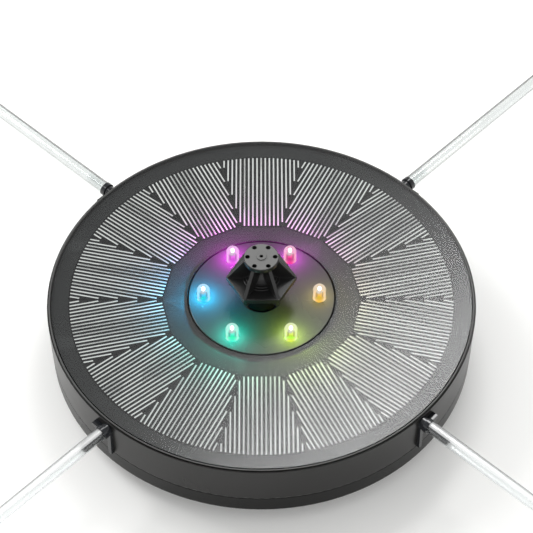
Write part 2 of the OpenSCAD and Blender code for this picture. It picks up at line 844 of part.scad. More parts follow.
module battery() {
    color("#3a6ea8") translate([-battery_len / 2, battery_y, battery_z]) rotate([0, 90, 0]) {
        cylinder(h = battery_len - 1, r = battery_r);
        cylinder(h = battery_len, r = battery_r * 0.36, $fn = 32);
    }
}

module battery_cradle() {
    color("#1f1f20") translate([0, battery_y, base_top]) difference() {
        union() {
            translate([-battery_len / 2, -saddle_half_y, 0])
                cube([battery_len, 2 * saddle_half_y, cradle_base_t - 0.3]);
            for (side = [-1, 1]) translate([side * saddle_x - saddle_w / 2, -saddle_half_y, 0])
                cube([saddle_w, 2 * saddle_half_y, cradle_base_t + battery_r * 0.8]);
        }
        translate([-battery_len, 0, cradle_base_t + battery_r]) rotate([0, 90, 0])
            cylinder(h = 2 * battery_len, r = battery_r);
    }
}

// A component on the control board, by its middle and its size
module board_chip(x, y, size) {
    translate([x - size[0] / 2, y - size[1] / 2, 0]) cube(size);
}

module control_board() {
    color("#1f5a35") difference() {
        translate([0, button_y, 0]) {
            translate([-control_len / 2, -control_w / 2, control_z])
                cube([control_len, control_w, control_t]);
            translate([-switch_w / 2, -switch_w / 2, control_z - switch_h])
                cube([switch_w, switch_w, switch_h + eps]);
            translate([0, 0, switch_z]) cylinder(h = switch_stem_h + eps, r = 1.6, $fn = 32);
            translate([0, 0, control_z + control_t - eps]) {
                board_chip(-chip_grid, 0, driver_size);
                board_chip(0, -chip_grid / 2, coil_size);
                board_chip(chip_grid, chip_grid / 3, driver_size);
            }
        }
        control_posts(control_z + 2 * control_t, pin_r);
    }
}

module mode_button() {
    color("#8c2f2b") translate([0, button_y, 0]) {
        translate([0, 0, base_z - button_out + button_chamfer])
            cylinder(h = base_t + button_out - button_chamfer + eps, r = button_r);
        translate([0, 0, base_z - button_out])
            cylinder(h = button_chamfer + eps, r1 = button_r - button_chamfer, r2 = button_r);
        translate([0, 0, base_top]) cylinder(h = button_flange_h, r = button_flange_r);
    }
}

// ---- Clips and guide rods ----

// Block of a clip from one radius to another, mirrored on every other clip
module clip_block(k, r0, r1, y, w, z, h) {
    translate([r0, k % 2 == 0 ? -y - w : y, z]) cube([r1 - r0, w, h]);
}

// Tongue of a clip and the pocket that it fills in the wall
module clip_tongue(k) {
    clip_block(k, tongue_in, float_r + 0.5, clip_near - tongue_w, tongue_w, tongue_z, tongue_h);
}

module rod_clip(k) {
    bar_w = clip_far + clip_near;
    leg_y = clip_near - clip_leg_w;
    leg_h = clip_bar_z - leg_foot + eps;
    color("#2c2f33") rotate([0, 0, rod_angle(k)]) {
        difference() {
            union() {
                clip_block(k, float_r - 3, clip_face, -clip_far, bar_w, clip_bar_z, clip_bar_h);
                clip_block(k, float_r - 3, float_r + clip_leg_out, leg_y, clip_leg_w, leg_foot, leg_h);
                translate([float_r - 3, 0, clip_z]) rotate([0, 90, 0])
                    cylinder(h = clip_out + 3, r = clip_boss_r, $fn = 48);
            }
            wall_solid();
        }
        clip_tongue(k);
        translate([clip_face - eps, 0, clip_z]) rotate([0, 90, 0]) {
            cylinder(h = collar_h + eps, r = collar_r, $fn = 48);
            difference() {
                union() {
                    cylinder(h = collar_h + peg_len - peg_tip, r = peg_r, $fn = 48);
                    translate([0, 0, collar_h + peg_len - peg_tip - eps])
                        cylinder(h = peg_tip, r1 = peg_r, r2 = peg_r - 0.4, $fn = 48);
                }
                translate([-rod_r, -peg_slot_w / 2, collar_h + peg_len * 0.3])
                    cube([2 * rod_r, peg_slot_w, peg_len]);
            }
        }
    }
}

module guide_rod(k) {
    color("#e8eef0", 0.3) rotate([0, 0, rod_angle(k)]) translate([peg_start, 0, clip_z])
        rotate([0, 90, 0]) difference() {
            cylinder(h = rod_len, r = rod_r, $fn = 48);
            translate([0, 0, -eps]) cylinder(h = rod_len + 2 * eps, r = rod_bore_r, $fn = 48);
        }
}

top_shell();
bottom_shell();
shell_seal();
case_screws();
panel_board();
panel_resin();
cell_fingers();
for (k = [1:cell_count]) solar_cell(k);
light_plate();
led_board();
for (k = [0:led_count - 1]) led(k);
nozzle();
nozzle_seal();
outlet_pipe();
pump_housing();
stator_core();
stator_coil();
motor_potting();
impeller();
rotor_magnet();
pump_shaft();
pump_cover();
cover_screws();
filter_cover();
filter_sponge();
battery();
battery_cradle();
control_board();
mode_button();
for (k = [1:4]) rod_clip(k);
for (k = [1:4]) guide_rod(k);
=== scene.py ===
"""Solar floating fountain: finishes, lit lamps, filter foam and a plain studio round the parts."""

import math

import bmesh
import bpy
from mathutils import Matrix, Vector


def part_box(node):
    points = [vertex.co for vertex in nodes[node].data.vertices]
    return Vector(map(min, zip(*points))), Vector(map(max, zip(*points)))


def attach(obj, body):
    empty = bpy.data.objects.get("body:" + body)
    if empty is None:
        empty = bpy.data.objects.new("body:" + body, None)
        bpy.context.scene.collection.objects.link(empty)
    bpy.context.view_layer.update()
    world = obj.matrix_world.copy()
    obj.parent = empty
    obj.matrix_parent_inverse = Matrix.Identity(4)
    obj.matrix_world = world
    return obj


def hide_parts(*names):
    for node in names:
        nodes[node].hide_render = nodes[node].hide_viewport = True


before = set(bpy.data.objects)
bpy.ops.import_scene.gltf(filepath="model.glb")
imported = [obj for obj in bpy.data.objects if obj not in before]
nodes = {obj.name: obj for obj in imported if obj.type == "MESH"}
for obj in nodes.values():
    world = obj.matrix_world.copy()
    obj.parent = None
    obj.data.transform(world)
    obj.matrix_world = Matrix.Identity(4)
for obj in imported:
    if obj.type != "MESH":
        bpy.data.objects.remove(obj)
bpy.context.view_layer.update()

MM = 0.001
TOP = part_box("light_plate")[1].z

# Radii from the float's axis: the bore of its raised rim, and the root of the clips' pegs
RIM_BORE = 79.4 * MM
PEG_ROOT = 83.9 * MM

# Refractive indices. What the cast epoxy wets is given the small index that it has against epoxy.
EPOXY_IOR = 1.52
WETTED_IOR = 1.15
WETTED_MASK_IOR = 1.1
LENS_IOR = 1.53
ACRYLIC_IOR = 1.49
POLYCARBONATE_IOR = 1.58

CAMERA_LENS = 171.07
CAMERA_PLACE = (0.0, -0.60097, TOP + 0.72918)
CAMERA_AIM = (0.001926, 0.014920, TOP)

# A lit lamp, in mm: heights above the plate of its lit core's middle, of the lamp that throws its
# light, and of the spans over which its dome fills with pale light and its foot with colour
CORE_UP = 4.9
GLOW_UP = 4.6
HOT_UP = (3.0, 6.2)
FOOT_UP = (2.2, 0.8)
CORE_RADIUS = 1.1
GLOW_CONE = math.radians(170)

FLOOR_SIZE = 8.0
FLOOR_WHITE = 0.12  # share of plain white in the floor as it is seen
ROOM_STRENGTH = 0.82

# The strip over the far right: the place on the floor under it, then its height above the plate
STRIP_SPOT = (0.0885, 0.2854)
STRIP_UP = 0.45
STRIP_SIZE = (0.105, 0.34)
STRIP_WATTS = 1.06
STRIP_TURN = math.radians(-44)

MAIN_PLACE = (-0.8, 0.45, 0.8)
MAIN_AIM = (0, 0, 0.02)
MAIN_SIZE = (0.5, 0.5)
MAIN_WATTS = 7.0

# Each lamp's dome, the light that it throws on the plate, and that light's power in watts
LAMPS = {
    "led_amber": ("#ffc23c", "#ffdc70", 0.021),
    "led_pink": ("#ff2f96", "#ff48f5", 0.049),
    "led_magenta": ("#f45cf0", "#ff3cf7", 0.075),
    "led_blue": ("#1cc8ff", "#20c4ff", 0.107),
    "led_green": ("#2cf2d6", "#28ffde", 0.059),
    "led_yellow": ("#e6f032", "#e2ff60", 0.054),
}


# ---- Camera ----


def place_camera():
    """A long lens that looks down on the float from the near side."""
    data = bpy.data.cameras.new("camera")
    camera = bpy.data.objects.new("camera", data)
    bpy.context.scene.collection.objects.link(camera)
    bpy.context.scene.camera = camera
    data.lens = CAMERA_LENS
    data.sensor_width = 36.0
    data.clip_start = 0.05
    data.clip_end = 20.0
    camera.location = CAMERA_PLACE
    look = Vector(CAMERA_AIM) - camera.location
    camera.rotation_euler = look.to_track_quat("-Z", "Y").to_euler()


# ---- Material helpers ----


def tint(text):
    """An sRGB hex value as linear colour."""
    parts = [int(text[i:i + 2], 16) / 255 for i in (1, 3, 5)]
    return [p / 12.92 if p <= 0.04045 else ((p + 0.055) / 1.055) ** 2.4 for p in parts] + [1.0]


def add(tree, kind, inputs=None, **settings):
    """A node with its settings, and with each input set to a value or linked to a socket."""
    node = tree.nodes.new(kind)
    for name, value in settings.items():
        setattr(node, name, value)
    for name, value in (inputs or {}).items():
        socket = node.inputs[name]
        if isinstance(value, bpy.types.NodeSocket):
            tree.links.new(value, socket)
        else:
            socket.default_value = value
    return node


def blank(name):
    """An empty material: its node tree, its output and the Object coordinates."""
    material = bpy.data.materials.new(name)
    material.use_nodes = True
    tree = material.node_tree
    tree.nodes.clear()
    output = add(tree, "ShaderNodeOutputMaterial")
    place = add(tree, "ShaderNodeTexCoord").outputs["Object"]
    return material, tree, output, place


def moulded(name, dark, light, rough, grain=0.4, depth=0.02, edge=0.25, ior=1.5,
            spread=0.08, edge_highlight=0.0, layers=()):
    """Injection moulded plastic. Grain in mm gives a fine skin, depth its height in mm, and edge
    the soft radius of its edges. Colour and gloss drift slowly over a few centimetres. The
    argument after spread is how much paler its sharp edges are painted: a painted highlight where
    they catch the light. Each layer is a colour, a roughness and a function that adds the mask of
    the place that has them."""
    material, tree, output, place = blank(name)
    drift = add(tree, "ShaderNodeTexNoise", {
        "Vector": place, "Scale": 1 / (35 * MM), "Detail": 3.0,
    })
    colour = add(tree, "ShaderNodeMix", {
        "Factor": drift.outputs["Fac"], "A": tint(dark), "B": tint(light),
    }, data_type="RGBA")
    skin = add(tree, "ShaderNodeTexNoise", {
        "Vector": place, "Scale": 1 / (grain * MM), "Detail": 2.0,
    })
    gloss = add(tree, "ShaderNodeMapRange", {
        "Value": drift.outputs["Fac"], "From Min": 0.3, "From Max": 0.7,
        "To Min": rough - spread / 2, "To Max": rough + spread / 2,
    })
    soft = add(tree, "ShaderNodeBevel", {"Radius": edge * MM}, samples=6)
    base, shine = colour.outputs["Result"], gloss.outputs["Result"]
    if edge_highlight:
        # Painted highlight: sharp edges made paler where the softened normal turns away from the
        # face
        face = add(tree, "ShaderNodeNewGeometry")
        flat = add(tree, "ShaderNodeVectorMath", {
            0: soft.outputs["Normal"], 1: face.outputs["True Normal"],
        }, operation="DOT_PRODUCT")
        edge_glint = add(tree, "ShaderNodeMapRange", {
            "Value": flat.outputs["Value"], "From Min": 0.995, "From Max": 0.9, "To Max": edge_highlight,
        })
        base = add(tree, "ShaderNodeMix", {
            "Factor": edge_glint.outputs["Result"], "A": base, "B": tint("#a0a0a0"),
        }, data_type="RGBA").outputs["Result"]
    for hue, satin, mask in layers:
        here = mask(tree, place)
        base = add(tree, "ShaderNodeMix", {"Factor": here, "A": base, "B": tint(hue)},
                   data_type="RGBA").outputs["Result"]
        shine = add(tree, "ShaderNodeMix", {0: here, 2: shine, 3: satin}).outputs[0]
    bump = add(tree, "ShaderNodeBump", {
        "Strength": 0.5, "Distance": depth * MM, "Height": skin.outputs["Fac"],
        "Normal": soft.outputs["Normal"],
    })
    shader = add(tree, "ShaderNodeBsdfPrincipled", {
        "Base Color": base, "Roughness": shine, "IOR": ior, "Normal": bump.outputs["Normal"],
    })
    tree.links.new(shader.outputs["BSDF"], output.inputs["Surface"])
    return material


def above(level):
    """Mask of what lies above a height."""
    def mask(tree, place):
        height = add(tree, "ShaderNodeSeparateXYZ", {"Vector": place})
        return add(tree, "ShaderNodeMath", {
            0: height.outputs["Z"], 1: level,
        }, operation="GREATER_THAN").outputs["Value"]
    return mask


def ring_at(radius, half):
    """Mask of a band round the axis, half its width on each side of a radius."""
    def mask(tree, place):
        flat = add(tree, "ShaderNodeVectorMath", {0: place, 1: (1, 1, 0)}, operation="MULTIPLY")
        reach = add(tree, "ShaderNodeVectorMath", {0: flat.outputs["Vector"]}, operation="LENGTH")
        return add(tree, "ShaderNodeMath", {
            0: reach.outputs["Value"], 1: radius, 2: half,
        }, operation="COMPARE").outputs["Value"]
    return mask


# ---- Finishes ----


def cast_epoxy():
    """Epoxy cast over the solar ring: clear, with a satin skin on its top face, so the lines under
    it stay crisp and the light above it shows as a soft bright patch. Its sides are bonded to the
    grey walls of their well."""
    material, tree, output, place = blank("cast_epoxy")
    drift = add(tree, "ShaderNodeTexNoise", {
        "Vector": place, "Scale": 1 / (22 * MM), "Detail": 2.0,
    })
    gloss = add(tree, "ShaderNodeMapRange", {
        "Value": drift.outputs["Fac"], "From Min": 0.3, "From Max": 0.7,
        "To Min": 0.21, "To Max": 0.24,
    })
    geometry = add(tree, "ShaderNodeNewGeometry")
    clear = add(tree, "ShaderNodeBsdfTransparent")
    mirror = add(tree, "ShaderNodeBsdfGlossy", {
        "Color": tint("#ffffff"), "Roughness": gloss.outputs["Result"],
    })
    fresnel = add(tree, "ShaderNodeFresnel", {"IOR": EPOXY_IOR})
    height = add(tree, "ShaderNodeSeparateXYZ", {"Vector": place})
    top_face = add(tree, "ShaderNodeMath", {
        0: height.outputs["Z"], 1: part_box("panel_resin")[1].z - 0.3 * MM,
    }, operation="GREATER_THAN")
    # Only from outside: seen from within, the skin would mirror and keep low light from the cells
    outside = add(tree, "ShaderNodeMath", {
        0: top_face.outputs["Value"], 1: geometry.outputs["Backfacing"],
    }, operation="SUBTRACT", use_clamp=True)
    share = add(tree, "ShaderNodeMath", {
        0: fresnel.outputs["Fac"], 1: outside.outputs["Value"],
    }, operation="MULTIPLY")
    skin = add(tree, "ShaderNodeMixShader", {
        0: share.outputs["Value"], 1: clear.outputs["BSDF"], 2: mirror.outputs["BSDF"],
    })
    slope = add(tree, "ShaderNodeSeparateXYZ", {"Vector": geometry.outputs["True Normal"]})
    upright = add(tree, "ShaderNodeMath", {
        0: slope.outputs["Z"], 1: 0.0, 2: 0.5,
    }, operation="COMPARE")
    # The bonded sides throw no shadow on the cells and the plate
    shadow = add(tree, "ShaderNodeLightPath").outputs["Is Shadow Ray"]
    side = add(tree, "ShaderNodeMath", {
        0: upright.outputs["Value"], 1: shadow,
    }, operation="SUBTRACT", use_clamp=True)
    bond = add(tree, "ShaderNodeBsdfDiffuse", {"Color": tint("#202121")})
    cast = add(tree, "ShaderNodeMixShader", {
        0: side.outputs["Value"], 1: skin.outputs["Shader"], 2: bond.outputs["BSDF"],
    })
    tree.links.new(cast.outputs["Shader"], output.inputs["Surface"])
    return material


def silver_print():
    """Screen-printed silver paste: pale and matt, a little thin in places."""
    material, tree, output, place = blank("silver_print")
    thin = add(tree, "ShaderNodeTexNoise", {
        "Vector": place, "Scale": 1 / (1.5 * MM), "Detail": 3.0,
    })
    colour = add(tree, "ShaderNodeMix", {
        "Factor": thin.outputs["Fac"], "A": tint("#aeb1af"), "B": tint("#bdc0be"),
    }, data_type="RGBA")
    shader = add(tree, "ShaderNodeBsdfPrincipled", {
        "Base Color": colour.outputs["Result"], "Roughness": 0.6, "IOR": WETTED_IOR,
    })
    tree.links.new(shader.outputs["BSDF"], output.inputs["Surface"])
    return material


def silicon():
    """Solar silicon under its coating: near black with faint crystal patches 6 mm wide."""
    material, tree, output, place = blank("solar_silicon")
    crystal = add(tree, "ShaderNodeTexVoronoi", {"Vector": place, "Scale": 1 / (6 * MM)})
    colour = add(tree, "ShaderNodeMix", {
        "Factor": crystal.outputs["Distance"], "A": tint("#0c0e0e"), "B": tint("#131515"),
    }, data_type="RGBA")
    shader = add(tree, "ShaderNodeBsdfPrincipled", {
        "Base Color": colour.outputs["Result"], "Roughness": 0.45, "IOR": WETTED_IOR,
    })
    tree.links.new(shader.outputs["BSDF"], output.inputs["Surface"])
    return material


def solder_mask(name, dark, light, relief=0.03, ior=EPOXY_IOR):
    """Solder mask over copper: its tracks show as faint raised bands, relief in mm high."""
    material, tree, output, place = blank(name)
    tracks = add(tree, "ShaderNodeTexBrick", {
        "Vector": place, "Color1": tint(dark), "Color2": tint(light), "Mortar": tint(dark),
        "Scale": 1 / (9 * MM), "Mortar Size": 0.03, "Row Height": 0.18, "Brick Width": 0.7,
    })
    bump = add(tree, "ShaderNodeBump", {
        "Strength": 0.4, "Distance": relief * MM, "Height": tracks.outputs["Fac"],
    })
    shader = add(tree, "ShaderNodeBsdfPrincipled", {
        "Base Color": tracks.outputs["Color"], "Roughness": 0.4, "IOR": ior,
        "Normal": bump.outputs["Normal"],
    })
    tree.links.new(shader.outputs["BSDF"], output.inputs["Surface"])
    return material


def lamp_lens(name, colour):
    """Clear epoxy dome of a lit lamp: its round top full of pale light, its straight wall tinted
    and half see-through, its foot filled, with a paler line just inside its outline. It lets the
    light of the lamp inside it through."""
    material, tree, output, place = blank(name)
    height = add(tree, "ShaderNodeSeparateXYZ", {"Vector": place})
    hot = add(tree, "ShaderNodeMapRange", {
        "Value": height.outputs["Z"],
        "From Min": TOP + HOT_UP[0] * MM, "From Max": TOP + HOT_UP[1] * MM, "To Max": 0.75,
    }, interpolation_type="SMOOTHSTEP")
    # Paler towards the outline, which itself thins out
    rim = add(tree, "ShaderNodeLayerWeight", {"Blend": 0.5})
    edge = add(tree, "ShaderNodeMapRange", {
        "Value": rim.outputs["Facing"], "From Min": 0.35, "From Max": 0.6, "To Max": 0.5,
    })
    pale = add(tree, "ShaderNodeMath", {
        0: hot.outputs["Result"], 1: edge.outputs["Result"],
    }, operation="MAXIMUM")
    hue = add(tree, "ShaderNodeMix", {
        "Factor": pale.outputs["Value"], "A": tint(colour), "B": tint("#ffffff"),
    }, data_type="RGBA", clamp_result=True)
    fade = add(tree, "ShaderNodeMapRange", {
        "Value": rim.outputs["Facing"], "From Min": 0.62, "From Max": 0.85,
        "To Min": 1.0, "To Max": 0.1,
    })
    # It hides what is behind it most at its foot, and wherever it is pale
    foot = add(tree, "ShaderNodeMapRange", {
        "Value": height.outputs["Z"],
        "From Min": TOP + FOOT_UP[0] * MM, "From Max": TOP + FOOT_UP[1] * MM,
        "To Min": 0.45, "To Max": 0.92,
    })
    top = add(tree, "ShaderNodeMapRange", {"Value": pale.outputs["Value"], "To Max": 0.62})
    body = add(tree, "ShaderNodeMath", {
        0: foot.outputs["Result"], 1: top.outputs["Result"],
    }, operation="MAXIMUM")
    # Shadow rays pass, so that the lamp in the dome lights the plate
    shadow = add(tree, "ShaderNodeLightPath").outputs["Is Shadow Ray"]
    seen = add(tree, "ShaderNodeMath", {
        0: fade.outputs["Result"], 1: shadow,
    }, operation="SUBTRACT", use_clamp=True)
    cover = add(tree, "ShaderNodeMath", {
        0: body.outputs["Value"], 1: seen.outputs["Value"],
    }, operation="MULTIPLY")
    clear = add(tree, "ShaderNodeBsdfTransparent")
    glow = add(tree, "ShaderNodeBsdfPrincipled", {
        "Base Color": tint("#0a0a0a"), "Roughness": 0.08, "IOR": LENS_IOR,
        "Emission Color": hue.outputs["Result"], "Emission Strength": 0.95,
    })
    mix = add(tree, "ShaderNodeMixShader", {
        0: cover.outputs["Value"], 1: clear.outputs["BSDF"], 2: glow.outputs["BSDF"],
    })
    tree.links.new(mix.outputs["Shader"], output.inputs["Surface"])
    return material


def lit(name, colour, strength):
    """Light-giving part of a lamp, its strength a little uneven over 0.6 mm."""
    material, tree, output, place = blank(name)
    uneven = add(tree, "ShaderNodeTexNoise", {"Vector": place, "Scale": 1 / (0.6 * MM)})
    level = add(tree, "ShaderNodeMapRange", {
        "Value": uneven.outputs["Fac"], "From Min": 0.3, "From Max": 0.7,
        "To Min": strength * 0.85, "To Max": strength * 1.15,
    })
    shader = add(tree, "ShaderNodeBsdfPrincipled", {
        "Base Color": tint(colour), "Roughness": 0.4,
        "Emission Color": tint(colour), "Emission Strength": level.outputs["Result"],
    })
    tree.links.new(shader.outputs["BSDF"], output.inputs["Surface"])
    return material


def clear_acrylic(name, tone, line, painted_highlight):
    """Extruded acrylic tube: clear, with painted shade as a thin dark line along its upper edge
    and a faint one along its lower edge, and a painted highlight as a white streak where it faces
    up. Tone is its tint, line the colour of its painted lines and the last argument how strong the
    painted highlight is."""
    material, tree, output, place = blank(name)
    # The wall seen edge on, in painted shade: dark on its upper half, faint on its lower half,
    # none from inside
    rim = add(tree, "ShaderNodeLayerWeight", {"Blend": 0.5})
    edge = add(tree, "ShaderNodeMapRange", {
        "Value": rim.outputs["Facing"], "From Min": 0.38, "From Max": 0.56,
    })
    low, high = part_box("guide_rod_1")
    middle = (low.z + high.z) / 2
    level = add(tree, "ShaderNodeSeparateXYZ", {"Vector": place})
    geometry = add(tree, "ShaderNodeNewGeometry")
    turn = add(tree, "ShaderNodeSeparateXYZ", {"Vector": geometry.outputs["Normal"]})
    upper = add(tree, "ShaderNodeMapRange", {
        "Value": level.outputs["Z"],
        "From Min": middle - 0.2 * MM, "From Max": middle + 0.6 * MM,
        "To Min": 0.08, "To Max": 0.9,
    })
    skin = add(tree, "ShaderNodeMath", {
        0: upper.outputs["Result"], 1: geometry.outputs["Backfacing"],
    }, operation="SUBTRACT", use_clamp=True)
    draw = add(tree, "ShaderNodeTexNoise", {"Vector": place, "Scale": 1 / (8 * MM)})
    gloss = add(tree, "ShaderNodeMapRange", {
        "Value": draw.outputs["Fac"], "To Min": 0.05, "To Max": 0.12,
    })
    share = add(tree, "ShaderNodeMath", {
        0: edge.outputs["Result"], 1: skin.outputs["Value"],
    }, operation="MULTIPLY")
    # Painted highlight: white diffuse where the tube faces up
    streak = add(tree, "ShaderNodeMapRange", {
        "Value": turn.outputs["Z"], "From Min": 0.8, "From Max": 0.9, "To Max": painted_highlight,
    })
    pure = add(tree, "ShaderNodeBsdfTransparent", {"Color": tint(tone)})
    highlight_white = add(tree, "ShaderNodeBsdfDiffuse", {"Color": tint("#ffffff")})
    clear = add(tree, "ShaderNodeMixShader", {
        0: streak.outputs["Result"], 1: pure.outputs["BSDF"], 2: highlight_white.outputs["BSDF"],
    })
    wall = add(tree, "ShaderNodeBsdfPrincipled", {
        "Base Color": tint(line), "Roughness": gloss.outputs["Result"], "IOR": ACRYLIC_IOR,
    })
    body = add(tree, "ShaderNodeMixShader", {
        0: share.outputs["Value"], 1: clear.outputs["Shader"], 2: wall.outputs["BSDF"],
    })
    mirror = add(tree, "ShaderNodeBsdfGlossy", {
        "Color": tint("#ffffff"), "Roughness": gloss.outputs["Result"],
    })
    fresnel = add(tree, "ShaderNodeFresnel", {"IOR": ACRYLIC_IOR})
    # Capped, so that the wall's inner faces don't mirror in white
    shine = add(tree, "ShaderNodeMath", {
        0: fresnel.outputs["Fac"], 1: 0.07,
    }, operation="MINIMUM")
    mix = add(tree, "ShaderNodeMixShader", {
        0: shine.outputs["Value"], 1: body.outputs["Shader"], 2: mirror.outputs["BSDF"],
    })
    tree.links.new(mix.outputs["Shader"], output.inputs["Surface"])
    return material


def clear_peg():
    """Clip whose peg runs out clear from a smoky root, as the gate of the mould left it."""
    material, tree, output, place = blank("clear_polycarbonate")
    flat = add(tree, "ShaderNodeVectorMath", {0: place, 1: (1, 1, 0)}, operation="MULTIPLY")
    reach = add(tree, "ShaderNodeVectorMath", {0: flat.outputs["Vector"]}, operation="LENGTH")
    out = add(tree, "ShaderNodeMapRange", {
        "Value": reach.outputs["Value"], "From Min": PEG_ROOT, "From Max": PEG_ROOT + 0.3 * MM,
    })
    drift = add(tree, "ShaderNodeTexNoise", {"Vector": place, "Scale": 1 / (6 * MM)})
    gloss = add(tree, "ShaderNodeMapRange", {
        "Value": drift.outputs["Fac"], "To Min": 0.07, "To Max": 0.13,
    })
    clear = add(tree, "ShaderNodeBsdfTransparent", {"Color": tint("#fafbfb")})
    smoky = add(tree, "ShaderNodeBsdfPrincipled", {
        "Base Color": tint("#131519"), "Roughness": gloss.outputs["Result"],
        "IOR": POLYCARBONATE_IOR,
    })
    mix = add(tree, "ShaderNodeMixShader", {
        0: out.outputs["Result"], 1: smoky.outputs["BSDF"], 2: clear.outputs["BSDF"],
    })
    tree.links.new(mix.outputs["Shader"], output.inputs["Surface"])
    return material


def metal(name, colour, rough, line_mm=0.0, line_axis="Z"):
    """Bare metal, with fine lines across it where it is stacked, wound or turned."""
    material, tree, output, place = blank(name)
    scuff = add(tree, "ShaderNodeTexNoise", {
        "Vector": place, "Scale": 1 / (2 * MM), "Detail": 4.0,
    })
    gloss = add(tree, "ShaderNodeMapRange", {
        "Value": scuff.outputs["Fac"], "To Min": rough - 0.08, "To Max": rough + 0.12,
    })
    inputs = {"Base Color": tint(colour), "Roughness": gloss.outputs["Result"], "Metallic": 1.0}
    if line_mm:
        lines = add(tree, "ShaderNodeTexWave", {"Vector": place, "Scale": 0.31 / (line_mm * MM)},
                    bands_direction=line_axis)
        bump = add(tree, "ShaderNodeBump", {
            "Strength": 0.8, "Distance": line_mm * 0.3 * MM, "Height": lines.outputs["Fac"],
        })
        inputs["Normal"] = bump.outputs["Normal"]
    shader = add(tree, "ShaderNodeBsdfPrincipled", inputs)
    tree.links.new(shader.outputs["BSDF"], output.inputs["Surface"])
    return material


def foam():
    """Open-cell filter foam: paler struts between pores 1.2 mm wide, the pores dark with painted
    shade.
    """
    material, tree, output, place = blank("open_cell_foam")
    cells = add(tree, "ShaderNodeTexVoronoi", {
        "Vector": place, "Scale": 1 / (1.2 * MM),
    }, feature="DISTANCE_TO_EDGE")
    strut = add(tree, "ShaderNodeMapRange", {"Value": cells.outputs["Distance"], "From Max": 0.25})
    # Painted shade in the pores, darker towards the middle of each cell
    colour = add(tree, "ShaderNodeMix", {
        "Factor": strut.outputs["Result"], "A": tint("#4a4f55"), "B": tint("#0c0d0f"),
    }, data_type="RGBA")
    bump = add(tree, "ShaderNodeBump", {
        "Strength": 1.0, "Distance": 0.4 * MM, "Height": strut.outputs["Result"],
    }, invert=True)
    shader = add(tree, "ShaderNodeBsdfPrincipled", {
        "Base Color": colour.outputs["Result"], "Roughness": 0.9, "Normal": bump.outputs["Normal"],
    })
    tree.links.new(shader.outputs["BSDF"], output.inputs["Surface"])
    return material


def dress(material, *names):
    """Gives a finish to CAD nodes."""
    for name in names:
        nodes[name].data.materials.clear()
        nodes[name].data.materials.append(material)


def dress_all():
    """Gives every CAD node the finish of its real material."""
    lip = (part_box("panel_resin")[1].x + RIM_BORE) / 2
    # A painted highlight: a paler band round the rim's lip, where its rounded edge catches the
    # light
    dress(moulded("satin_abs", "#100f0e", "#161413", 0.3, ior=1.4,
                  layers=[("#4c4c4b", 0.3, ring_at(lip, 0.45 * MM))]), "top_shell")
    dress(moulded("underside_abs", "#070706", "#0b0b0a", 0.28, ior=1.29), "bottom_shell")
    dress(moulded("plate_abs", "#1f2121", "#222424", 0.24, grain=1.2, depth=0.002, spread=0.04),
          "light_plate")
    dress(cast_epoxy(), "panel_resin")
    dress(silver_print(), "cell_fingers")
    dress(silicon(), *[f"solar_cell_{k}" for k in range(1, 15)])
    dress(solder_mask("black_solder_mask", "#2b2d2d", "#2e3030", relief=0.01, ior=WETTED_MASK_IOR),
          "panel_board")
    dress(solder_mask("green_solder_mask", "#0b3318", "#12522a"), "led_board", "control_board")
    for name, (colour, _, _) in LAMPS.items():
        dress(lamp_lens(name + "_epoxy", colour), name)
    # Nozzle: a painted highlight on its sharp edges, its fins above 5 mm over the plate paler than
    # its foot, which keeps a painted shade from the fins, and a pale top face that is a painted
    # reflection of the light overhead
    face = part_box("nozzle")[1].z - 0.5 * MM
    dress(moulded("gloss_abs", "#030303", "#060606", 0.26, depth=0.004, edge=0.3, edge_highlight=0.4,
                  layers=[("#1c1c1c", 0.28, above(TOP + 5 * MM)), ("#5e5e5d", 0.45, above(face))]),
          "nozzle")
    dress(moulded("glass_filled_nylon", "#131314", "#1a1a1b", 0.5, grain=0.6, depth=0.05),
          "pump_housing", "pump_cover", "outlet_pipe", "battery_cradle")
    dress(moulded("filter_abs", "#121313", "#181919", 0.45), "filter_cover")
    dress(moulded("nitrile_rubber", "#0d0d0d", "#121212", 0.65), "shell_seal", "nozzle_seal")
    dress(moulded("silicone_rubber", "#3a0f0d", "#4a1512", 0.5), "mode_button")
    dress(moulded("smoky_polycarbonate", "#101216", "#171a1f", 0.1, depth=0.003, edge=0.15,
                  ior=POLYCARBONATE_IOR), "rod_clip_3", "rod_clip_4")
    dress(clear_peg(), "rod_clip_1", "rod_clip_2")
    dress(clear_acrylic("clear_acrylic", "#fcfdfd", "#56595a", 0.3), "guide_rod_3", "guide_rod_4")
    dress(clear_acrylic("deep_clear_acrylic", "#f5f6f6", "#232526", 0.0),
          "guide_rod_1", "guide_rod_2")
    dress(moulded("acetal", "#d2d2cc", "#deded8", 0.35), "impeller")
    dress(moulded("sintered_ferrite", "#2b2b2e", "#37373a", 0.6, grain=0.3, depth=0.03),
          "rotor_magnet")
    dress(moulded("ground_ceramic", "#e6e4dc", "#f0eee8", 0.2, depth=0.002), "pump_shaft")
    dress(moulded("potting_epoxy", "#070707", "#0b0b0b", 0.25, grain=4.0, depth=0.1),
          "motor_potting")
    dress(moulded("shrink_wrap", "#123a6e", "#1a4a84", 0.25, grain=3.0, depth=0.03), "battery")
    dress(metal("stainless_steel", "#b9bbbd", 0.3), "case_screws", "cover_screws")
    dress(metal("laminated_steel", "#7d8084", 0.42, line_mm=0.5), "stator_core")
    dress(metal("enamelled_copper", "#b0602c", 0.3, line_mm=0.35, line_axis="X"), "stator_coil")


# ---- New pieces ----


def start(name):
    """Names the object made last, which is the one in hand, and gives it back."""
    piece = bpy.context.object
    piece.name = name
    piece.data.name = name
    return piece


def clear_hands():
    """Leaves edit mode and deselects everything."""
    if bpy.context.object and bpy.context.object.mode != "OBJECT":
        bpy.ops.object.mode_set(mode="OBJECT")
    bpy.ops.object.select_all(action="DESELECT")


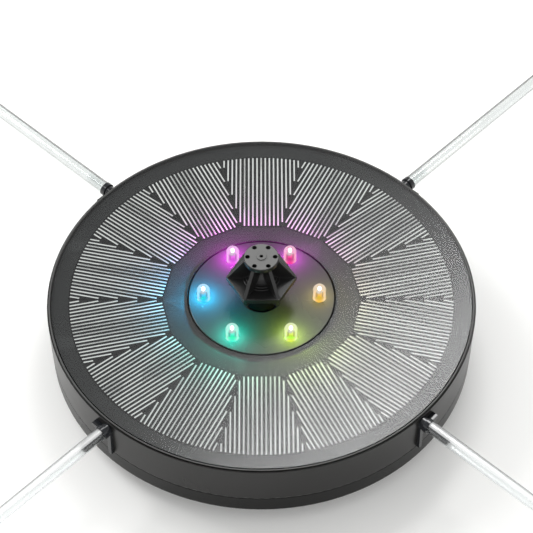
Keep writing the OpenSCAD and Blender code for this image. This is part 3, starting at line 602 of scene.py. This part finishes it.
def pick(piece, test):
    """Selects the faces of a piece in edit mode that pass a test on their middle and normal."""
    mesh = bmesh.from_edit_mesh(piece.data)
    for part in (*mesh.verts, *mesh.edges, *mesh.faces):
        part.select = False
    for face in mesh.faces:
        if test(face.calc_center_median(), face.normal):
            face.select_set(True)
    mesh.select_flush_mode()
    bmesh.update_edit_mesh(piece.data)


def join(pieces, name):
    """Joins pieces into one under a name."""
    clear_hands()
    for piece in pieces:
        piece.select_set(True)
    bpy.context.view_layer.objects.active = pieces[0]
    bpy.ops.object.join()
    return start(name)


def copy_to(piece, name, shift):
    """A copy with its own mesh, moved in its mesh so that its object stays at the origin."""
    twin = piece.copy()
    twin.data = piece.data.copy()
    twin.name = name
    twin.data.name = name
    bpy.context.scene.collection.objects.link(twin)
    twin.data.transform(Matrix.Translation(shift))
    return twin


def settle():
    """Puts the place and turn of the piece in hand into its mesh."""
    bpy.ops.object.transform_apply(location=True, rotation=True, scale=True)


def lead_frame():
    """Lead frame of a lamp: a post with a cup for the die, a second post beside it. Its foot is at
    the origin."""
    cup_x = -0.25 * MM
    clear_hands()
    bpy.ops.mesh.primitive_cylinder_add(vertices=24, radius=0.95 * MM, depth=0.7 * MM,
                                        location=(cup_x, 0, 2.75 * MM))
    cup = start("cup")
    bpy.ops.object.mode_set(mode="EDIT")
    # Its hollow, then the taper of its underside
    pick(cup, lambda middle, normal: normal.z > 0.9)
    bpy.ops.mesh.inset(thickness=0.12 * MM)
    bpy.ops.transform.translate(value=(0, 0, -0.4 * MM))
    bpy.ops.transform.resize(value=(0.55, 0.55, 1.0), center_override=(cup_x, 0, 2.7 * MM))
    pick(cup, lambda middle, normal: normal.z < -0.9)
    bpy.ops.transform.resize(value=(0.75, 0.6, 1.0), center_override=(cup_x, 0, 2.4 * MM))
    bpy.ops.object.mode_set(mode="OBJECT")
    posts = []
    for x, width, height in ((-1.05, 0.75, 2.45), (1.15, 0.6, 2.9)):
        clear_hands()
        bpy.ops.mesh.primitive_cube_add(size=1.0, location=(x * MM, 0, height / 2 * MM),
                                        scale=(width * MM, 0.45 * MM, height * MM))
        settle()
        post = start("post")
        bpy.ops.object.mode_set(mode="EDIT")
        pick(post, lambda middle, normal: normal.z > 0.9)
        bpy.ops.mesh.extrude_region_move(
            TRANSFORM_OT_translate={"value": (-0.3 * x * MM, 0, 0.35 * MM)})
        bpy.ops.mesh.select_all(action="SELECT")
        bpy.ops.mesh.bevel(offset=0.07 * MM, segments=2, affect="EDGES")
        bpy.ops.object.mode_set(mode="OBJECT")
        posts.append(post)
    return join([cup, *posts], "lead_frame")


def hot_spot():
    """The die and the light that its cup throws into the top of the dome."""
    clear_hands()
    bpy.ops.mesh.primitive_uv_sphere_add(segments=24, ring_count=14, radius=CORE_RADIUS * MM,
                                         location=(0, 0, CORE_UP * MM))
    drop = start("hot_spot")
    bpy.ops.object.mode_set(mode="EDIT")
    bpy.ops.mesh.select_all(action="SELECT")
    bpy.ops.transform.resize(value=(1.1, 1.1, 1.0), center_override=(0, 0, CORE_UP * MM))
    # Drawn in below, towards the cup
    pick(drop, lambda middle, normal: middle.z < 4.3 * MM)
    bpy.ops.transform.resize(value=(0.6, 0.6, 1.0), center_override=(0, 0, 4.0 * MM))
    bpy.ops.object.mode_set(mode="OBJECT")
    bpy.ops.object.shade_smooth()
    return drop


def light_lamps():
    """Puts the leads, the lit core and a lamp that throws its colour on the plate in each dome."""
    frame_steel = metal("silvered_steel", "#9a9d9f", 0.35)
    lead = lead_frame()
    spot = hot_spot()
    for name, (_, thrown, power) in LAMPS.items():
        low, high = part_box(name)
        middle = Vector(((low.x + high.x) / 2, (low.y + high.y) / 2, TOP))
        for master, part in ((lead, "leads"), (spot, "die")):
            twin = copy_to(master, f"{name}_{part}", middle)
            twin.data.materials.clear()
            twin.data.materials.append(
                frame_steel if part == "leads" else lit(f"{name}_light", "#fffdfa", 2.5))
            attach(twin, "float")
            twin.visible_shadow = False
        glow = bpy.data.lights.new(f"{name}_glow", "SPOT")
        glow.spot_size = GLOW_CONE
        glow.spot_blend = 0.25
        glow.energy = power
        glow.color = tint(thrown)[:3]
        glow.shadow_soft_size = 1 * MM
        bulb = bpy.data.objects.new(f"{name}_glow", glow)
        bulb.location = middle + Vector((0, 0, GLOW_UP)) * MM
        bulb.visible_glossy = False
        bpy.context.scene.collection.objects.link(bulb)
    for master in (lead, spot):
        bpy.data.objects.remove(master)


def filter_foam():
    """The foam disc behind the filter cover's slots, its faces pressed a little uneven."""
    low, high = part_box("filter_sponge")
    radius = (high.x - low.x) / 2 - 0.1 * MM
    clear_hands()
    depth = high.z - low.z - 0.1 * MM
    bpy.ops.mesh.primitive_cylinder_add(vertices=72, radius=radius, depth=depth,
                                        location=(0, 0, (low.z + high.z) / 2))
    disc = start("filter_foam")
    settle()
    bpy.ops.object.mode_set(mode="EDIT")
    rings = 9
    for _ in range(rings):
        pick(disc, lambda middle, normal: abs(normal.z) > 0.9 and middle.xy.length < 1 * MM)
        bpy.ops.mesh.inset(thickness=radius / (rings + 1))
    bpy.ops.object.mode_set(mode="OBJECT")
    bevel = disc.modifiers.new("edge", "BEVEL")
    bevel.width = 0.4 * MM
    bevel.segments = 3
    bpy.ops.object.modifier_apply(modifier="edge")
    texture = bpy.data.textures.new("foam_press", "CLOUDS")
    texture.noise_scale = 4 * MM
    press = disc.modifiers.new("press", "DISPLACE")
    press.texture = texture
    press.texture_coords = "LOCAL"
    press.strength = 0.18 * MM
    press.mid_level = 0.9
    bpy.ops.object.modifier_apply(modifier="press")
    bpy.ops.object.shade_smooth()
    disc.data.materials.append(foam())
    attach(disc, "filter")
    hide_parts("filter_sponge")


# ---- Studio ----


def seen_ray(tree):
    """1 for what the camera sees straight, in a mirror or through glass."""
    path = add(tree, "ShaderNodeLightPath")
    straight = add(tree, "ShaderNodeMath", {
        0: path.outputs["Is Camera Ray"], 1: path.outputs["Is Glossy Ray"],
    }, operation="MAXIMUM")
    return add(tree, "ShaderNodeMath", {
        0: straight.outputs["Value"], 1: path.outputs["Is Transmission Ray"],
    }, operation="MAXIMUM").outputs["Value"]


def studio_floor():
    """A pale floor that reads as white and keeps the soft shadow."""
    clear_hands()
    bpy.ops.mesh.primitive_plane_add(size=FLOOR_SIZE, location=(0, 0, 0))
    floor = start("studio_floor")
    material, tree, output, _ = blank("pale_floor")
    paper = add(tree, "ShaderNodeBsdfDiffuse", {"Color": tint("#fdfdfb")})
    white = add(tree, "ShaderNodeEmission", {"Color": tint("#fffffe"), "Strength": 1.0})
    share = add(tree, "ShaderNodeMath", {
        0: seen_ray(tree), 1: FLOOR_WHITE,
    }, operation="MULTIPLY")
    mix = add(tree, "ShaderNodeMixShader", {
        0: share.outputs["Value"], 1: paper.outputs["BSDF"], 2: white.outputs["Emission"],
    })
    tree.links.new(mix.outputs["Shader"], output.inputs["Surface"])
    floor.data.materials.append(material)


def softbox(name, place, aim, size, power):
    """A white rectangular lamp that points at a place."""
    data = bpy.data.lights.new(name, "AREA")
    data.shape = "RECTANGLE"
    data.size, data.size_y = size
    data.energy = power
    lamp = bpy.data.objects.new(name, data)
    lamp.location = place
    lamp.rotation_euler = (Vector(aim) - Vector(place)).to_track_quat("-Z", "Y").to_euler()
    bpy.context.scene.collection.objects.link(lamp)
    return lamp


def studio_light():
    """A plain white room, dimmer overhead in what mirrors it, with a strip and a main softbox."""
    world = bpy.data.worlds.new("studio")
    bpy.context.scene.world = world
    world.use_nodes = True
    tree = world.node_tree
    tree.nodes.clear()
    output = add(tree, "ShaderNodeOutputWorld")
    around = add(tree, "ShaderNodeTexCoord").outputs["Generated"]
    turn = add(tree, "ShaderNodeSeparateXYZ", {"Vector": around})
    wall = add(tree, "ShaderNodeMapRange", {
        "Value": turn.outputs["Z"], "From Min": 0.3, "From Max": 0.6,
        "To Min": 1.0, "To Max": 0.5,
    })
    room = add(tree, "ShaderNodeBackground", {
        "Color": tint("#ffffff"), "Strength": ROOM_STRENGTH,
    })
    white = add(tree, "ShaderNodeBackground", {
        "Color": tint("#ffffff"), "Strength": wall.outputs["Result"],
    })
    mix = add(tree, "ShaderNodeMixShader", {
        0: seen_ray(tree), 1: room.outputs["Background"], 2: white.outputs["Background"],
    })
    tree.links.new(mix.outputs["Shader"], output.inputs["Surface"])

    # A strip close above the far right, whose reflection is the bright patch on the near right
    strip = softbox("strip", (*STRIP_SPOT, TOP + STRIP_UP), (*STRIP_SPOT, TOP),
                    STRIP_SIZE, STRIP_WATTS)
    strip.rotation_euler = (0, 0, STRIP_TURN)
    # The main softbox from the left, whose soft shadow falls to the near right
    softbox("main_softbox", MAIN_PLACE, MAIN_AIM, MAIN_SIZE, MAIN_WATTS)


place_camera()
dress_all()
light_lamps()
filter_foam()
studio_floor()
studio_light()
bpy.context.scene.view_settings.view_transform = "Standard"
